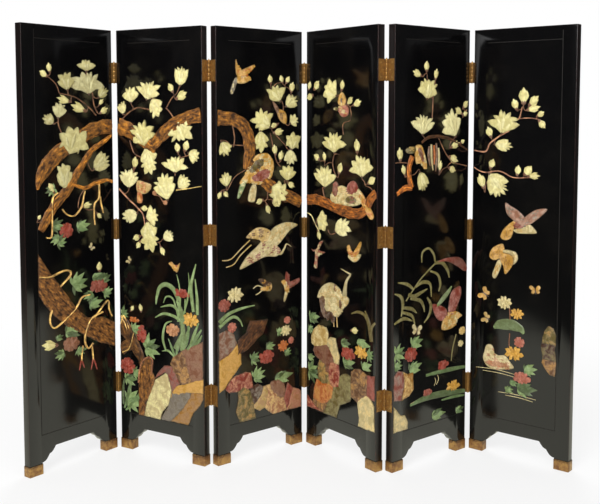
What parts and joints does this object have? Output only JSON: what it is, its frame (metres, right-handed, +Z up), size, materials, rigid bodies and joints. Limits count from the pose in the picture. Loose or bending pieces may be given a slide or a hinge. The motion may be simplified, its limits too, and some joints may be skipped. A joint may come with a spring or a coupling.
{
  "type": "folding screen",
  "caption": "Hinged black lacquer folding screen standing in a zigzag, with carved stone birds, rocks and flowers on one side and brass foot caps.",
  "frame": {"origin": "on the floor, in the middle of the standing screen's bounding box", "axes": "+Z up, the decorated side faces -Y, +X runs from the first panel to the last along the screen's length"},
  "size_m": [2.2528, 0.4606, 1.829],
  "materials": {
    "black_lacquer": "polished black lacquer on wood",
    "carved_stone": "carved and polished soapstone in several colours",
    "antique_brass": "aged, mottled brass",
    "brass_screws": "aged turned brass"
  },
  "bodies": {
    "panel_1": {"panel_1_left_stile": "black_lacquer", "panel_1_right_stile": "black_lacquer", "panel_1_top_rail": "black_lacquer", "panel_1_apron_rail": "black_lacquer", "panel_1_field_board": "black_lacquer", "panel_1_foot_caps": "antique_brass", "panel_1_stone_relief": "carved_stone", "panel_1_hinge_leaves": "antique_brass", "panel_1_hinge_screws": "brass_screws", "hinge_pins_1_2": "brass_screws"},
    "panel_2": {"panel_2_left_stile": "black_lacquer", "panel_2_right_stile": "black_lacquer", "panel_2_top_rail": "black_lacquer", "panel_2_apron_rail": "black_lacquer", "panel_2_field_board": "black_lacquer", "panel_2_foot_caps": "antique_brass", "panel_2_stone_relief": "carved_stone", "panel_2_hinge_leaves": "antique_brass", "panel_2_hinge_screws": "brass_screws", "hinge_pins_2_3": "brass_screws"},
    "panel_3": {"panel_3_left_stile": "black_lacquer", "panel_3_right_stile": "black_lacquer", "panel_3_top_rail": "black_lacquer", "panel_3_apron_rail": "black_lacquer", "panel_3_field_board": "black_lacquer", "panel_3_foot_caps": "antique_brass", "panel_3_stone_relief": "carved_stone", "panel_3_hinge_leaves": "antique_brass", "panel_3_hinge_screws": "brass_screws", "hinge_pins_3_4": "brass_screws"},
    "panel_4": {"panel_4_left_stile": "black_lacquer", "panel_4_right_stile": "black_lacquer", "panel_4_top_rail": "black_lacquer", "panel_4_apron_rail": "black_lacquer", "panel_4_field_board": "black_lacquer", "panel_4_foot_caps": "antique_brass", "panel_4_stone_relief": "carved_stone", "panel_4_hinge_leaves": "antique_brass", "panel_4_hinge_screws": "brass_screws", "hinge_pins_4_5": "brass_screws"},
    "panel_5": {"panel_5_left_stile": "black_lacquer", "panel_5_right_stile": "black_lacquer", "panel_5_top_rail": "black_lacquer", "panel_5_apron_rail": "black_lacquer", "panel_5_field_board": "black_lacquer", "panel_5_foot_caps": "antique_brass", "panel_5_stone_relief": "carved_stone", "panel_5_hinge_leaves": "antique_brass", "panel_5_hinge_screws": "brass_screws", "hinge_pins_5_6": "brass_screws"},
    "panel_6": {"panel_6_left_stile": "black_lacquer", "panel_6_right_stile": "black_lacquer", "panel_6_top_rail": "black_lacquer", "panel_6_apron_rail": "black_lacquer", "panel_6_field_board": "black_lacquer", "panel_6_foot_caps": "antique_brass", "panel_6_stone_relief": "carved_stone", "panel_6_hinge_leaves": "antique_brass", "panel_6_hinge_screws": "brass_screws"}
  },
  "joints": [
    {"name": "hinge_1_2", "type": "hinge", "parent": "panel_2", "child": "panel_1", "pos_m": [-0.80261, 0.13074, 0.972], "axis": [0, 0, 1], "range_deg": [-83, 97]},
    {"name": "hinge_2_3", "type": "hinge", "parent": "panel_3", "child": "panel_2", "pos_m": [-0.37553, -0.06521, 0.972], "axis": [0, 0, -1], "range_deg": [-71, 109]},
    {"name": "hinge_3_4", "type": "hinge", "parent": "panel_3", "child": "panel_4", "pos_m": [0.01564, 0.19513, 0.972], "axis": [0, 0, -1], "range_deg": [-92, 88]},
    {"name": "hinge_4_5", "type": "hinge", "parent": "panel_4", "child": "panel_5", "pos_m": [0.34413, -0.14085, 0.972], "axis": [0, 0, 1], "range_deg": [-92, 88]},
    {"name": "hinge_5_6", "type": "hinge", "parent": "panel_5", "child": "panel_6", "pos_m": [0.7353, 0.11949, 0.972], "axis": [0, 0, -1], "range_deg": [-79, 101]}
  ]
}
